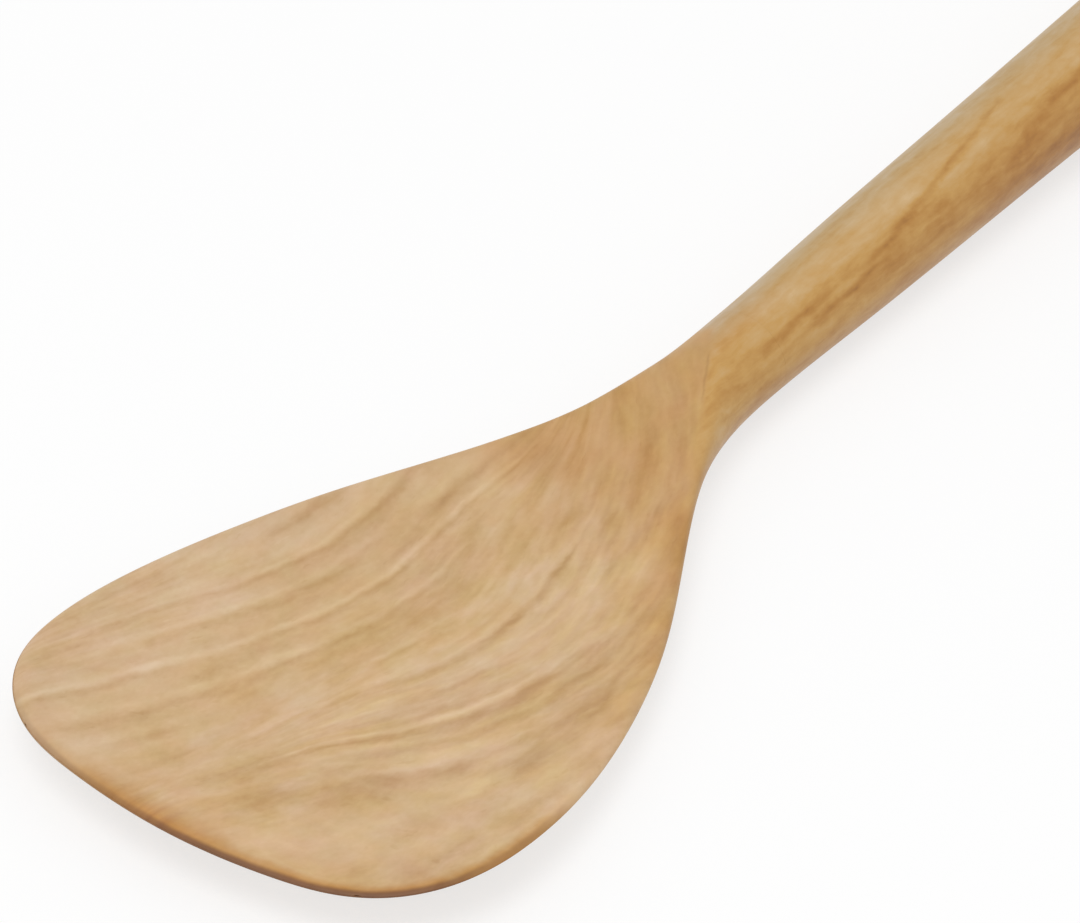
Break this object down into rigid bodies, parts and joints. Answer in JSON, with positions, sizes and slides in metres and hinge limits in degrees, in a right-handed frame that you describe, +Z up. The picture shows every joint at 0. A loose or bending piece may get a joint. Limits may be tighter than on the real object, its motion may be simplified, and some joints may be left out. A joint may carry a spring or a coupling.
{
  "type": "wooden spatula",
  "caption": "Wooden wok spatula: wide, shallow-hollowed shield-shaped blade with a rounded front edge, flowing through a narrow neck into a thick round handle with a domed butt.",
  "frame": {"origin": "on the worktop under the middle of the spatula's length and width, as it lies on its back", "axes": "+X from the blade's front edge to the handle's butt, +Y across the blade, +Z up, out of the hollowed face"},
  "size_m": [0.35, 0.096, 0.0227],
  "materials": {
    "blade_wood": "fine-sanded, lightly oiled, matt",
    "handle_wood": "sanded and oiled, soft satin",
    "dowel_wood": "bare, fluted"
  },
  "bodies": {
    "root": {"blade": "blade_wood", "handle": "handle_wood", "neck_dowel": "dowel_wood"}
  },
  "joints": []
}
